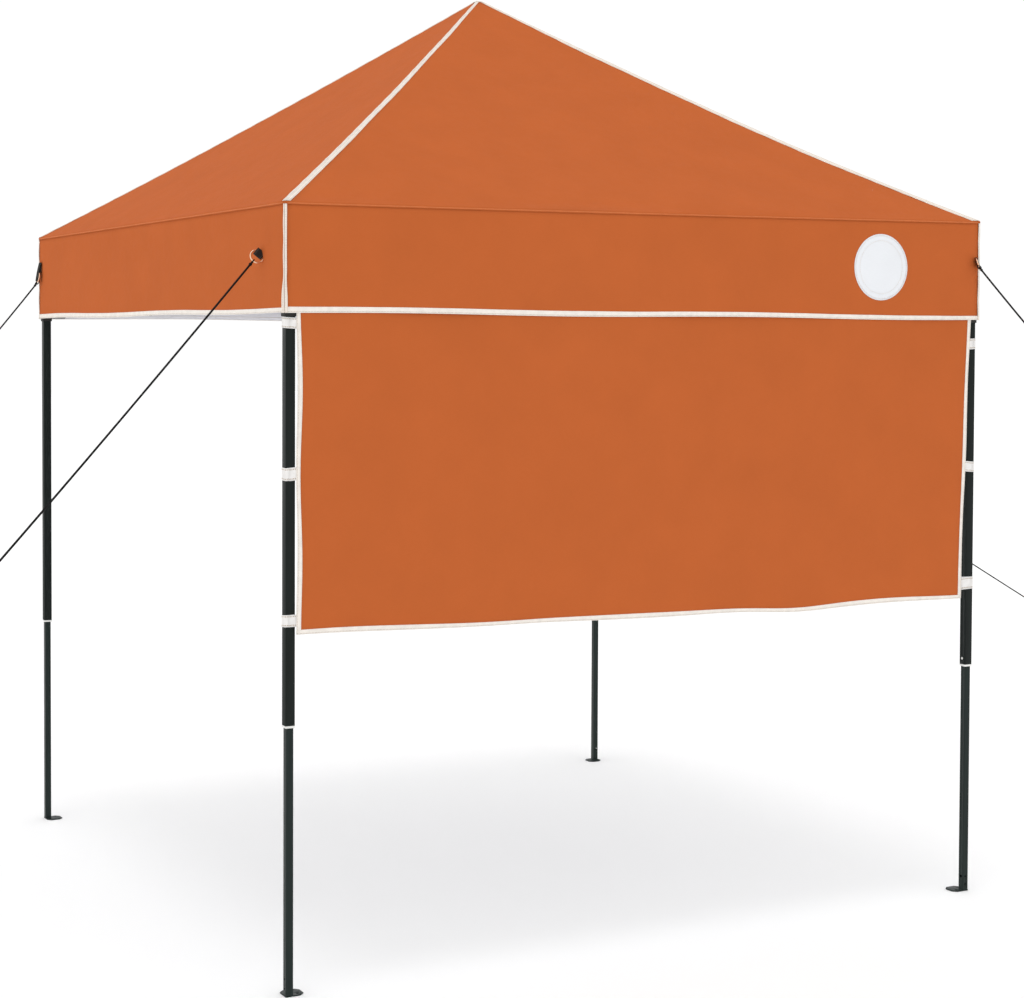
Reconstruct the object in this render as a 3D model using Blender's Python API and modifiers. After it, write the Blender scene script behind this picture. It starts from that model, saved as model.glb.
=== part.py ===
"""A pop-up tarp shelter: four telescoping legs, a scissor frame, a pitched fabric top with a valance, one
half wall and four guy ropes. Metres, +Z up, origin on the ground at the middle. The front, with the half
wall, faces -Y. Side k is the front side turned k quarter turns about Z, and corner k is the right-hand end
of side k."""

import math

import bmesh
import bpy
from mathutils import Matrix, Vector

# Legs
LEG_SPAN = 1.205  # from the centre to each leg's axis, along X and along Y
LEG_TOP = 2.170
OUTER_LEG_BOTTOM = 0.755
OUTER_SIDE, OUTER_WALL = 0.028, 0.0014
INNER_SIDE, INNER_WALL = 0.021, 0.0012
INNER_LEG_TOP = 1.150
LEG_TRAVEL = 0.727
FOOT_SIDE, FOOT_THICKNESS, FOOT_CUT = 0.058, 0.003, 0.014

# Scissor frame
PIVOT_OFFSET = 0.060  # from a leg's axis to the pivots of its bracket and slider
TOP_PIVOT_Z = 2.150
TRUSS_HEIGHT = 0.245  # between the upper and the lower pivots when the shelter is up
BAR_RUN = LEG_SPAN - PIVOT_OFFSET
BAR_LENGTH = math.hypot(BAR_RUN, TRUSS_HEIGHT)
OPEN_ANGLE = math.atan2(TRUSS_HEIGHT, BAR_RUN)
BAR_HEIGHT, BAR_THICKNESS = 0.018, 0.009
LAYER = 0.0055  # each bar's middle from the plane between the two layers
LOW_PIVOT_Z = TOP_PIVOT_Z - TRUSS_HEIGHT
PIN_RADIUS, HOLE_RADIUS, HEAD_RADIUS, HEAD_THICKNESS = 0.0025, 0.0034, 0.0045, 0.002
PIN_END = LAYER + BAR_THICKNESS / 2 + 0.0005
LUG_RADIUS = 0.030  # a strut's pivots, from the mid bracket's plane and from the hub's axis
SLEEVE_SIDE = 0.033

# Buttons
LEG_BUTTON_Z = OUTER_LEG_BOTTOM + 0.020
BUTTON_RADIUS = 0.0045
SLIDER_BUTTON_RISE = 0.024  # above the slider's pivots

# Fabric
EAVE_HALF = 1.2255
EAVE_Z, PEAK_Z = 2.200, 3.018
ROOF_SAG = 0.014
FABRIC = 0.002
HIP_GAP = 0.003
PEAK_HALF = 0.014
VALANCE_TOP, VALANCE_BOTTOM = 2.1965, 1.895
WALL_FRONT, WALL_FABRIC = 0.0180, 0.001
WALL_TOP, WALL_BOTTOM = 1.930, 1.010
WALL_LEFT, WALL_RIGHT = -1.186, 1.176

# Guy ropes: where each leaves its ring, its compass angle, its fall below level and its length
ROPE_RADIUS = 0.003
ROPES = {
    "front_right": ((1.195, -EAVE_HALF - 0.037, 2.066), -30.0, 50.2, 0.32),
    "back_right": ((1.030, EAVE_HALF + 0.016, 2.050), 0.0, 29.2, 3.13),
    "back_left": ((-EAVE_HALF - 0.017, EAVE_HALF - 0.028, 2.028), 145.0, 49.6, 0.32),
    "front_left": ((-EAVE_HALF - 0.0315, -1.066, 2.038), 200.0, 42.8, 1.22),
}

SIDES = ["front", "right", "back", "left"]
CORNERS = ["front_right", "back_right", "back_left", "front_left"]

SHELTER = bpy.data.collections.new("tarp_shelter")
CUTTERS = bpy.data.collections.new("cutters")


def clear_scene():
    for obj in list(bpy.data.objects):
        bpy.data.objects.remove(obj)
    for collection in (SHELTER, CUTTERS):
        bpy.context.scene.collection.children.link(collection)


def material(name, colour, roughness, metallic=0.0):
    made = bpy.data.materials.new(name)
    made.use_nodes = True
    shader = made.node_tree.nodes["Principled BSDF"]
    shader.inputs["Base Color"].default_value = (*colour, 1.0)
    shader.inputs["Roughness"].default_value = roughness
    shader.inputs["Metallic"].default_value = metallic
    return made


# Shapes ---------------------------------------------------------------------------------------------------


def mesh_from(bm, name):
    mesh = bpy.data.meshes.new(name)
    bmesh.ops.recalc_face_normals(bm, faces=bm.faces)
    bm.to_mesh(mesh)
    bm.free()
    return mesh


def block(x, y, z):
    """A box from (low, high) pairs."""
    bm = bmesh.new()
    bmesh.ops.create_cube(bm, size=1.0)
    size = Vector((x[1] - x[0], y[1] - y[0], z[1] - z[0]))
    middle = Vector((x[1] + x[0], y[1] + y[0], z[1] + z[0])) / 2
    for vertex in bm.verts:
        vertex.co = Vector(a * b for a, b in zip(vertex.co, size)) + middle
    return mesh_from(bm, "block")


def rod(start, end, radius, end_radius=None, sides=10):
    """A cylinder, or a cone where the two radii differ, between two points."""
    start, end = Vector(start), Vector(end)
    along = end - start
    bm = bmesh.new()
    bmesh.ops.create_cone(
        bm,
        cap_ends=True,
        segments=sides,
        radius1=radius,
        radius2=radius if end_radius is None else end_radius,
        depth=along.length,
    )
    turn = along.to_track_quat("Z", "Y").to_matrix().to_4x4()
    bmesh.ops.transform(bm, matrix=Matrix.Translation((start + end) / 2) @ turn, verts=bm.verts)
    return mesh_from(bm, "rod")


def rounded_bar(left, right, height, y, holes):
    """A flat bar along X, standing in XZ, with half-round ends past left and right and holes at given x."""
    curve = bpy.data.curves.new("bar", "CURVE")
    curve.dimensions = "2D"
    curve.fill_mode = "BOTH"
    curve.extrude = (y[1] - y[0]) / 2
    radius = height / 2
    steps = 6
    outline = []
    for middle, first in ((right, -90.0), (left, 90.0)):
        for i in range(steps + 1):
            angle = math.radians(first + 180.0 * i / steps)
            outline.append((middle + radius * math.cos(angle), radius * math.sin(angle)))
    loops = [outline]
    for hole in holes:
        turns = [2 * math.pi * i / 8 for i in range(8)]
        loops.append([(hole + HOLE_RADIUS * math.cos(t), HOLE_RADIUS * math.sin(t)) for t in turns])
    for loop in loops:
        spline = curve.splines.new("POLY")
        spline.points.add(len(loop) - 1)
        for point, (px, py) in zip(spline.points, loop):
            point.co = (px, py, 0.0, 1.0)
        spline.use_cyclic_u = True
    guide = bpy.data.objects.new("bar", curve)
    CUTTERS.objects.link(guide)
    bpy.context.view_layer.update()
    evaluated = guide.evaluated_get(bpy.context.evaluated_depsgraph_get())
    bm = bmesh.new()
    bm.from_mesh(bpy.data.meshes.new_from_object(evaluated))
    bpy.data.objects.remove(guide)
    bmesh.ops.remove_doubles(bm, verts=bm.verts, dist=1e-5)
    stand = Matrix.Translation((0, (y[0] + y[1]) / 2, 0)) @ Matrix.Rotation(math.pi / 2, 4, "X")
    bmesh.ops.transform(bm, matrix=stand, verts=bm.verts)
    return mesh_from(bm, "bar")


def combine(name, base, joined=(), cut=()):
    """One mesh: the base, joined with some shapes and then cut by others."""
    target = bpy.data.objects.new(name, base)
    CUTTERS.objects.link(target)
    helpers = []
    for operation, shapes in (("UNION", joined), ("DIFFERENCE", cut)):
        for shape in shapes:
            helper = bpy.data.objects.new(name + "_helper", shape)
            helper.hide_render = True
            helper.display_type = "WIRE"
            CUTTERS.objects.link(helper)
            boolean = target.modifiers.new(operation.lower(), "BOOLEAN")
            boolean.operation = operation
            boolean.object = helper
            helpers.append(helper)
    bpy.context.view_layer.update()
    evaluated = target.evaluated_get(bpy.context.evaluated_depsgraph_get())
    mesh = bpy.data.meshes.new_from_object(evaluated)
    mesh.name = name
    for helper in [target, *helpers]:
        bpy.data.objects.remove(helper)
    return mesh


def add(name, mesh, finish, place=(0, 0, 0), turn=0, tilt=0.0):
    """One named part: place is in the unturned frame of side 0, turn is in quarter turns about Z, and tilt
    is the part's own turn about its Y axis."""
    obj = bpy.data.objects.new(name, mesh)
    obj.rotation_euler = (0.0, tilt, turn * math.pi / 2)
    obj.location = Matrix.Rotation(turn * math.pi / 2, 4, "Z") @ Vector(place)
    if not mesh.materials:
        mesh.materials.append(finish)
    SHELTER.objects.link(obj)
    return obj


# Parts at each corner: x runs along side k towards the corner, y points inwards across side k ---------------


def tube(side, wall, low, high):
    half, bore = side / 2, side / 2 - wall
    hollow = block((-bore, bore), (-bore, bore), (low - 0.01, high + 0.01))
    return combine("tube", block((-half, half), (-half, half), (low, high)), cut=[hollow])


def outer_leg_mesh():
    hole = rod((-OUTER_SIDE, 0, LEG_BUTTON_Z), (-OUTER_SIDE / 4, 0, LEG_BUTTON_Z), BUTTON_RADIUS + 0.0005)
    return combine("outer_leg", tube(OUTER_SIDE, OUTER_WALL, OUTER_LEG_BOTTOM, LEG_TOP), cut=[hole])


def foot_plate():
    """A flat plate whose outer corner lies under the leg, with its other corners cut and two stake holes."""
    low = -INNER_SIDE / 2 - 0.001
    high = low + FOOT_SIDE
    # the leg's inner side is at -x and +y, so the plate spreads that way
    corners = [
        (-low, low),
        (-low, high - FOOT_CUT),
        (-low - FOOT_CUT, high),
        (-high + FOOT_CUT, high),
        (-high, high - FOOT_CUT),
        (-high, low + FOOT_CUT),
        (-high + FOOT_CUT, low),
    ]
    bm = bmesh.new()
    flat = bm.faces.new([bm.verts.new((x, y, 0.0)) for x, y in corners])
    raised = bmesh.ops.extrude_face_region(bm, geom=[flat])["geom"]
    top = [item for item in raised if isinstance(item, bmesh.types.BMVert)]
    bmesh.ops.translate(bm, verts=top, vec=(0, 0, FOOT_THICKNESS))
    return mesh_from(bm, "foot_plate")


def inner_leg_mesh():
    half = INNER_SIDE / 2
    body = tube(INNER_SIDE, INNER_WALL, FOOT_THICKNESS / 2, INNER_LEG_TOP)
    retracted_z = LEG_BUTTON_Z - LEG_TRAVEL
    cuts = [
        rod((-2 * half, 0, z), (-half / 2, 0, z), BUTTON_RADIUS + 0.001)
        for z in (retracted_z, LEG_BUTTON_Z)
    ]
    cuts += [rod((0, -2 * half, z), (0, -half / 2, z), 0.0032, sides=8) for z in (0.022, 0.048)]
    cuts += [
        rod((x, y, -0.01), (x, y, 0.01), 0.0045)
        for x, y in ((-0.028, 0.002), (-0.002, 0.028))
    ]
    return combine("inner_leg", body, joined=[foot_plate()], cut=cuts)


def lug_and_pin(along, layer, z, inner):
    """A lug from the sleeve to the pivot along -X or +Y in one layer, with its pin through the other."""
    half, layer_half = BAR_HEIGHT / 2, BAR_THICKNESS / 2
    reach = (inner, PIVOT_OFFSET + half)
    side = 1 if layer > 0 else -1
    across = (layer - layer_half, layer + layer_half)
    pin = [side * 0.003, -side * PIN_END]
    head = [-side * (PIN_END - 0.0002), -side * (PIN_END + HEAD_THICKNESS)]
    height = (z - half, z + half)
    if along == "-X":
        lug = block((-reach[1], -reach[0]), across, height)
        ends = [(-PIVOT_OFFSET, p, z) for p in (*pin, *head)]
    else:
        lug = block((-across[1], -across[0]), reach, height)
        ends = [(-p, PIVOT_OFFSET, z) for p in (*pin, *head)]
    return [lug, rod(ends[0], ends[1], PIN_RADIUS, sides=8), rod(ends[2], ends[3], HEAD_RADIUS, sides=8)]


def top_bracket_mesh():
    half, bore = SLEEVE_SIDE / 2, OUTER_SIDE / 2 + 0.0003
    sleeve = block((-half, half), (-half, half), (2.124, 2.190))
    hollow = block((-bore, bore), (-bore, bore), (2.100, LEG_TOP + 0.0004))
    lugs = lug_and_pin("-X", -LAYER, TOP_PIVOT_Z, bore + 0.001)
    lugs += lug_and_pin("+Y", LAYER, TOP_PIVOT_Z, bore + 0.001)
    return combine("top_bracket", sleeve, joined=lugs, cut=[hollow])


def slider_mesh():
    half, bore = SLEEVE_SIDE / 2, OUTER_SIDE / 2 + 0.0005
    low, high = LOW_PIVOT_Z - 0.020, LOW_PIVOT_Z + 0.034
    button_z = LOW_PIVOT_Z + SLIDER_BUTTON_RISE
    sleeve = block((-half, half), (-half, half), (low, high))
    boss = block((-half - 0.0055, -bore - 0.001), (-0.008, 0.008), (button_z - 0.008, button_z + 0.008))
    lugs = lug_and_pin("-X", LAYER, LOW_PIVOT_Z, bore + 0.001)
    lugs += lug_and_pin("+Y", -LAYER, LOW_PIVOT_Z, bore + 0.001)
    hollow = block((-bore, bore), (-bore, bore), (low - 0.01, high + 0.01))
    button_hole = rod((-0.030, 0, button_z), (0, 0, button_z), BUTTON_RADIUS + 0.0005)
    return combine("slider", sleeve, joined=[boss, *lugs], cut=[hollow, button_hole])


def button_mesh(length):
    """A push button along -X, its inner end at the origin, with a tapered nose."""
    body = rod((0, 0, 0), (-length + 0.001, 0, 0), BUTTON_RADIUS)
    nose = rod((-length + 0.0012, 0, 0), (-length, 0, 0), BUTTON_RADIUS - 0.0002, BUTTON_RADIUS * 0.7)
    return combine("button", body, joined=[nose])


# Parts of each side: x runs along the side, y points inwards ------------------------------------------------


def pin_shapes(x, side):
    """A rivet at x from the bar on one side of the middle plane through to the other side."""
    start, end = -side * 0.003, side * PIN_END
    head = (side * (PIN_END - 0.0002), side * (PIN_END + HEAD_THICKNESS))
    return [
        rod((x, start, 0), (x, end, 0), PIN_RADIUS, sides=8),
        rod((x, head[0], 0), (x, head[1], 0), HEAD_RADIUS, sides=8),
    ]


def bar_mesh(name, layer, origin, hole_at, pin_at):
    """A scissor bar along X. Places count in half lengths from its middle, and origin is one of them."""
    half = BAR_LENGTH / 2
    spots = {spot: (spot - origin) * half for spot in (-1, 0, 1)}
    across = (layer - BAR_THICKNESS / 2, layer + BAR_THICKNESS / 2)
    bar = rounded_bar(spots[-1], spots[1], BAR_HEIGHT, across, [spots[s] for s in hole_at])
    side = -1 if layer > 0 else 1
    pins = [shape for spot in pin_at for shape in pin_shapes(spots[spot], side)]
    return combine(name, bar, joined=pins) if pins else bar


def clevis(low, high, z):
    """Two lugs that reach along +Y and hold a strut's end between them, with the pin across."""
    half = BAR_HEIGHT / 2
    lugs = [block(x, (low, high), (z - half, z + half)) for x in ((-0.0095, -0.0055), (0.0055, 0.0095))]
    return lugs + [rod((-0.008, LUG_RADIUS, z), (0.008, LUG_RADIUS, z), PIN_RADIUS, sides=8)]


def mid_bracket_mesh():
    z = TOP_PIVOT_Z
    plate = block((-0.018, 0.018), (0.0115, 0.0185), (z - 0.016, z + 0.040))
    pin = rod((0, 0.013, z), (0, -PIN_END, z), PIN_RADIUS, sides=8)
    head = rod((0, -PIN_END + 0.0002, z), (0, -PIN_END - HEAD_THICKNESS, z), HEAD_RADIUS, sides=8)
    return combine("mid_bracket", plate, joined=[pin, head, *clevis(0.018, LUG_RADIUS + 0.008, z)])


def hub_mesh():
    z = LOW_PIVOT_Z
    core = block((-0.015, 0.015), (-0.015, 0.015), (z - 0.013, z + 0.020))
    arms = []
    for k in range(4):
        turn = Matrix.Rotation(k * math.pi / 2, 4, "Z")
        for shape in clevis(0.0145, LUG_RADIUS + 0.008, z):
            shape.transform(turn)
            arms.append(shape)
    return combine("hub", core, joined=arms)


def centre_post_mesh():
    """The tube that lifts the peak, with its domed cap, turned about Z."""
    low, top = LOW_PIVOT_Z + 0.0203, PEAK_Z - 0.016
    profile = [
        (0.0, top),
        (0.012, top - 0.003),
        (0.024, top - 0.012),
        (0.027, top - 0.020),
        (0.027, top - 0.026),
        (0.011, top - 0.034),
        (0.011, low),
        (0.0, low),
    ]
    mesh = bpy.data.meshes.new("centre_post")
    mesh.from_pydata([(r, 0, z) for r, z in profile], [(i, i + 1) for i in range(len(profile) - 1)], [])
    turned = bpy.data.objects.new("centre_post", mesh)
    screw = turned.modifiers.new("turn", "SCREW")
    screw.steps = screw.render_steps = 16
    screw.use_merge_vertices = True
    screw.merge_threshold = 1e-5
    screw.use_normal_calculate = True
    return turned


# Fabric ---------------------------------------------------------------------------------------------------


def roof_height(inward):
    """Height of the fabric's outer face at a distance inwards from the eave: a straight rise less a sag."""
    share = inward / EAVE_HALF
    return EAVE_Z + (PEAK_Z - EAVE_Z) * share - 4 * ROOF_SAG * share * (1 - share)


def roof_panel(name, turn, finish):
    """The front panel, from the eave to the peak, as a grid that follows the sag, turned to its side."""
    rows, columns = 6, 4
    bm = bmesh.new()
    grid = []
    for i in range(rows + 1):
        inward = (EAVE_HALF - PEAK_HALF) * i / rows
        half = EAVE_HALF - inward - HIP_GAP
        z = roof_height(inward)
        across = [half * (2 * j / columns - 1) for j in range(columns + 1)]
        grid.append([bm.verts.new((x, inward - EAVE_HALF, z)) for x in across])
    for low_row, high_row in zip(grid, grid[1:]):
        for j in range(columns):
            bm.faces.new([low_row[j], low_row[j + 1], high_row[j + 1], high_row[j]])
    mesh = bpy.data.meshes.new(name)
    bm.to_mesh(mesh)
    bm.free()
    panel = bpy.data.objects.new(name, mesh)
    panel.rotation_euler.z = turn * math.pi / 2
    mesh.materials.append(finish)
    thicken = panel.modifiers.new("thickness", "SOLIDIFY")
    thicken.thickness = FABRIC
    thicken.offset = -1.0
    SHELTER.objects.link(panel)


def valance_mesh():
    outer, inner = EAVE_HALF, EAVE_HALF - FABRIC
    ring = block((-outer, outer), (-outer, outer), (VALANCE_BOTTOM, VALANCE_TOP))
    hollow = block((-inner, inner), (-inner, inner), (VALANCE_BOTTOM - 0.1, VALANCE_TOP + 0.1))
    return combine("valance", ring, cut=[hollow])


def guy_rope(name, start, compass, fall, length, finish):
    """A rope held tight: a nearly straight run from its ring, with the slight sag of its own weight."""
    compass, fall = math.radians(compass), math.radians(fall)
    along = Vector((math.cos(compass) * math.cos(fall), math.sin(compass) * math.cos(fall), -math.sin(fall)))
    curve = bpy.data.curves.new(name, "CURVE")
    curve.dimensions = "3D"
    curve.bevel_depth = ROPE_RADIUS
    curve.bevel_resolution = 2
    curve.use_fill_caps = True
    count = 15
    spline = curve.splines.new("POLY")
    spline.points.add(count - 1)
    for i, point in enumerate(spline.points):
        share = i / (count - 1)
        sag = Vector((0, 0, -0.02 * length * share * (1 - share)))
        point.co = (*(Vector(start) + along * length * share + sag), 1.0)
    rope = bpy.data.objects.new(name, curve)
    curve.materials.append(finish)
    SHELTER.objects.link(rope)


# The whole shelter ----------------------------------------------------------------------------------------


def build():
    clear_scene()
    black_steel = material("black_steel", (0.012, 0.018, 0.018), 0.45, 0.3)
    black_plastic = material("black_plastic", (0.015, 0.013, 0.012), 0.5)
    zinc = material("zinc_steel", (0.72, 0.72, 0.70), 0.35, 0.9)
    orange = material("orange_fabric", (0.552, 0.133, 0.032), 0.85)
    black_cord = material("black_cord", (0.01, 0.01, 0.01), 0.8)

    outer_leg, inner_leg = outer_leg_mesh(), inner_leg_mesh()
    top_bracket, slider = top_bracket_mesh(), slider_mesh()
    leg_button, slider_button = button_mesh(0.0039), button_mesh(0.008)
    corner = Vector((LEG_SPAN, -LEG_SPAN, 0))
    slider_button_at = corner + Vector((-SLEEVE_SIDE / 2 - 0.0005, 0, LOW_PIVOT_Z + SLIDER_BUTTON_RISE))
    leg_button_at = corner + Vector((-OUTER_SIDE / 2 + OUTER_WALL, 0, LEG_BUTTON_Z))
    for k, where in enumerate(CORNERS):
        add("outer_leg_" + where, outer_leg, black_steel, corner, k)
        add("inner_leg_" + where, inner_leg, black_steel, corner, k)
        add("top_bracket_" + where, top_bracket, black_plastic, corner, k)
        add("slider_" + where, slider, black_plastic, corner, k)
        add("leg_button_" + where, leg_button, zinc, leg_button_at, k)
        add("slider_button_" + where, slider_button, zinc, slider_button_at, k)

    # upper bars run from a top bracket down to the low crossing, lower bars from the mid bracket to a slider
    upper_left = bar_mesh("upper_bar_left", -LAYER, 0, hole_at=(-1,), pin_at=(0, 1))
    upper_right = bar_mesh("upper_bar_right", LAYER, 0, hole_at=(-1, 1), pin_at=(0,))
    lower_left = bar_mesh("lower_bar_left", LAYER, 1, hole_at=(-1, 0, 1), pin_at=())
    lower_right = bar_mesh("lower_bar_right", -LAYER, -1, hole_at=(-1, 0, 1), pin_at=())
    strut = bar_mesh("strut", 0.0, -1, hole_at=(-1, 1), pin_at=())
    mid_bracket = mid_bracket_mesh()
    crossing_z = (TOP_PIVOT_Z + LOW_PIVOT_Z) / 2
    for k, where in enumerate(SIDES):
        left, right = (-BAR_RUN / 2, -LEG_SPAN, crossing_z), (BAR_RUN / 2, -LEG_SPAN, crossing_z)
        middle = (0, -LEG_SPAN, TOP_PIVOT_Z)
        add(f"upper_bar_{where}_left", upper_left, black_steel, left, k, OPEN_ANGLE)
        add(f"upper_bar_{where}_right", upper_right, black_steel, right, k, -OPEN_ANGLE)
        add(f"lower_bar_{where}_left", lower_left, black_steel, middle, k, -OPEN_ANGLE)
        add(f"lower_bar_{where}_right", lower_right, black_steel, middle, k, OPEN_ANGLE)
        add("mid_bracket_" + where, mid_bracket, black_plastic, (0, -LEG_SPAN, 0), k)
        lug = Matrix.Rotation(k * math.pi / 2, 4, "Z") @ Vector((0, LUG_RADIUS - LEG_SPAN, TOP_PIVOT_Z))
        # a strut's own X axis points inwards, a quarter turn on from its side's
        inward = add("strut_" + where, strut, black_steel, turn=k + 1, tilt=OPEN_ANGLE)
        inward.location = lug

    add("hub", hub_mesh(), black_plastic)
    post = centre_post_mesh()
    post.data.materials.append(black_steel)
    SHELTER.objects.link(post)

    for k, where in enumerate(SIDES):
        roof_panel("roof_panel_" + where, k, orange)
    add("valance", valance_mesh(), orange)
    wall_face = -LEG_SPAN - WALL_FRONT
    wall = block((WALL_LEFT, WALL_RIGHT), (wall_face, wall_face + WALL_FABRIC), (WALL_BOTTOM, WALL_TOP))
    add("side_wall", wall, orange)
    for where, (start, compass, fall, length) in ROPES.items():
        guy_rope("guy_rope_" + where, start, compass, fall, length, black_cord)


build()
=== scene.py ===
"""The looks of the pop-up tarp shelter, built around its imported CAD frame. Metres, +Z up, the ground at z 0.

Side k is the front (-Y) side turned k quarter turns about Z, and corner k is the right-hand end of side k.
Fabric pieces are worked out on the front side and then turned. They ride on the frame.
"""

import math

import bmesh
import bpy
from mathutils import Matrix, Vector, noise


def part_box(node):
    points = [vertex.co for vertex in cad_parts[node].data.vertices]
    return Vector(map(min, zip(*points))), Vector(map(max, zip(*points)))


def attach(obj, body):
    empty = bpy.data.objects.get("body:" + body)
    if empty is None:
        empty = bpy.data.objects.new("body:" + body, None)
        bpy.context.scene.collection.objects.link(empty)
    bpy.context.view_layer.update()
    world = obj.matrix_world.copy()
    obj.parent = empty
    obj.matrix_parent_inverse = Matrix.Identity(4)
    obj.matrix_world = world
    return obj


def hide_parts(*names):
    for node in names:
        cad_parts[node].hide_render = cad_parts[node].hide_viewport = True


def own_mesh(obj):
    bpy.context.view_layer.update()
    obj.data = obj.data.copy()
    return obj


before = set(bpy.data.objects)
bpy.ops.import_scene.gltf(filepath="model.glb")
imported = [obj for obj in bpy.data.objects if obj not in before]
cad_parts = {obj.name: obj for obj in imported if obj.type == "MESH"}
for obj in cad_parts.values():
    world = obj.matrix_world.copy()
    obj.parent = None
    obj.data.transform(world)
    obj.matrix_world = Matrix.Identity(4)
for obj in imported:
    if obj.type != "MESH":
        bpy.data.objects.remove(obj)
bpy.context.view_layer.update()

SIDES = ["front", "right", "back", "left"]
CORNERS = ["front_right", "back_right", "back_left", "front_left"]

# Sizes that come from the frame
valance_low, valance_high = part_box("valance")
EAVE = valance_high.x  # half the top's width
VALANCE_BOTTOM = valance_low.z
leg_low, leg_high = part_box("outer_leg_front_right")
LEG = (leg_low.x + leg_high.x) / 2
LEG_HALF = (leg_high.x - leg_low.x) / 2
LEG_BOTTOM = leg_low.z
INNER_HALF = 0.0105
wall_low, wall_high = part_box("side_wall")
WALL_Y = wall_low.y

# The top, as the CAD panels have it
EAVE_Z = 2.200
PEAK_Z = 3.018
ROOF_SAG = 0.014
CORNER_LIFT = 0.020  # the fabric's hem rides up this much on the bracket at its front right corner
TIP = 0.010  # the panels stop this far from the middle, under the cap
CLOTH = 0.0012


# Materials ------------------------------------------------------------------------------------------------


class Shader:
    """A node material under construction."""

    def __init__(self, name, colour, roughness, metallic=0.0, **sockets):
        self.made = bpy.data.materials.new(name)
        self.made.use_nodes = True
        self.tree = self.made.node_tree
        self.bsdf = self.tree.nodes["Principled BSDF"]
        self.bsdf.inputs["Base Color"].default_value = (*colour, 1.0)
        self.bsdf.inputs["Roughness"].default_value = roughness
        self.bsdf.inputs["Metallic"].default_value = metallic
        for socket, value in sockets.items():
            self.bsdf.inputs[socket.replace("_", " ")].default_value = value
        self.colour = colour
        self.roughness = roughness
        self.places = self.node("TexCoord")

    def node(self, kind, operation=None, **inputs):
        made = self.tree.nodes.new("ShaderNode" + kind)
        if operation:
            made.operation = operation
        for key, value in inputs.items():
            socket = made.inputs[int(key[1:])] if key[0] == "i" and key[1:].isdigit() else made.inputs[key]
            if isinstance(value, bpy.types.NodeSocket):
                self.tree.links.new(value, socket)
            else:
                socket.default_value = value
        return made

    def math(self, operation, a, b=0.0):
        return self.node("Math", operation, i0=a, i1=b).outputs[0]

    def noise(self, scale, detail=3.0, space="Object"):
        made = self.node("TexNoise", Vector=self.places.outputs[space], Scale=scale, Detail=detail)
        return made.outputs["Fac"]

    def ramp(self, factor, low, high, start=0.3, end=0.7):
        """A value that runs from low to high as the factor runs from start to end."""
        made = self.node("MapRange", Value=factor)
        for socket, value in (("From Min", start), ("From Max", end), ("To Min", low), ("To Max", high)):
            made.inputs[socket].default_value = value
        return made.outputs[0]

    def vary_colour(self, factor, amount, start=0.3, end=0.7):
        """Lets the base colour grow darker and lighter by a share, as the factor says."""
        made = self.node("Mix")
        made.data_type = "RGBA"
        darker = [channel * (1 - amount) for channel in self.colour]
        lighter = [min(1.0, channel * (1 + amount)) for channel in self.colour]
        made.inputs[6].default_value = (*darker, 1.0)
        made.inputs[7].default_value = (*lighter, 1.0)
        self.tree.links.new(self.ramp(factor, 0.0, 1.0, start, end), made.inputs[0])
        self.tree.links.new(made.outputs[2], self.bsdf.inputs["Base Color"])
        return made.outputs[2]

    def tint(self, base, mask, colour):
        """Lays a colour over the base where the mask is 1."""
        made = self.node("Mix")
        made.data_type = "RGBA"
        self.tree.links.new(mask, made.inputs[0])
        self.tree.links.new(base, made.inputs[6])
        made.inputs[7].default_value = (*colour, 1.0)
        self.tree.links.new(made.outputs[2], self.bsdf.inputs["Base Color"])
        return made.outputs[2]

    def vary_roughness(self, factor, low, high):
        self.tree.links.new(self.ramp(factor, low, high), self.bsdf.inputs["Roughness"])

    def bump(self, height, strength, distance):
        made = self.node("Bump", Height=height, Strength=strength, Distance=distance)
        previous = self.bsdf.inputs["Normal"].links
        if previous:
            self.tree.links.new(previous[0].from_socket, made.inputs["Normal"])
        self.tree.links.new(made.outputs[0], self.bsdf.inputs["Normal"])

    def across(self, axis):
        """One of the two cloth coordinates, in metres along the piece and across it."""
        parts = self.node("SeparateXYZ", Vector=self.places.outputs["UV"])
        return parts.outputs[axis]

    def threads(self, axis, pitch):
        """A wave from 0 to 1, once for each thread."""
        turns = self.math("MULTIPLY", self.across(axis), 2 * math.pi / pitch)
        return self.math("MULTIPLY_ADD", self.math("SINE", turns), 0.5)

    def near(self, value, middle, half):
        return self.math("LESS_THAN", self.math("ABSOLUTE", self.math("SUBTRACT", value, middle)), half)

    def stitches(self, axis, pitch, share=0.62):
        """1 on each stitch of a row that runs along an axis, and 0 in the gaps."""
        place = self.math("DIVIDE", self.across(axis), pitch)
        return self.math("LESS_THAN", self.math("FRACT", place), share)


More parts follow.
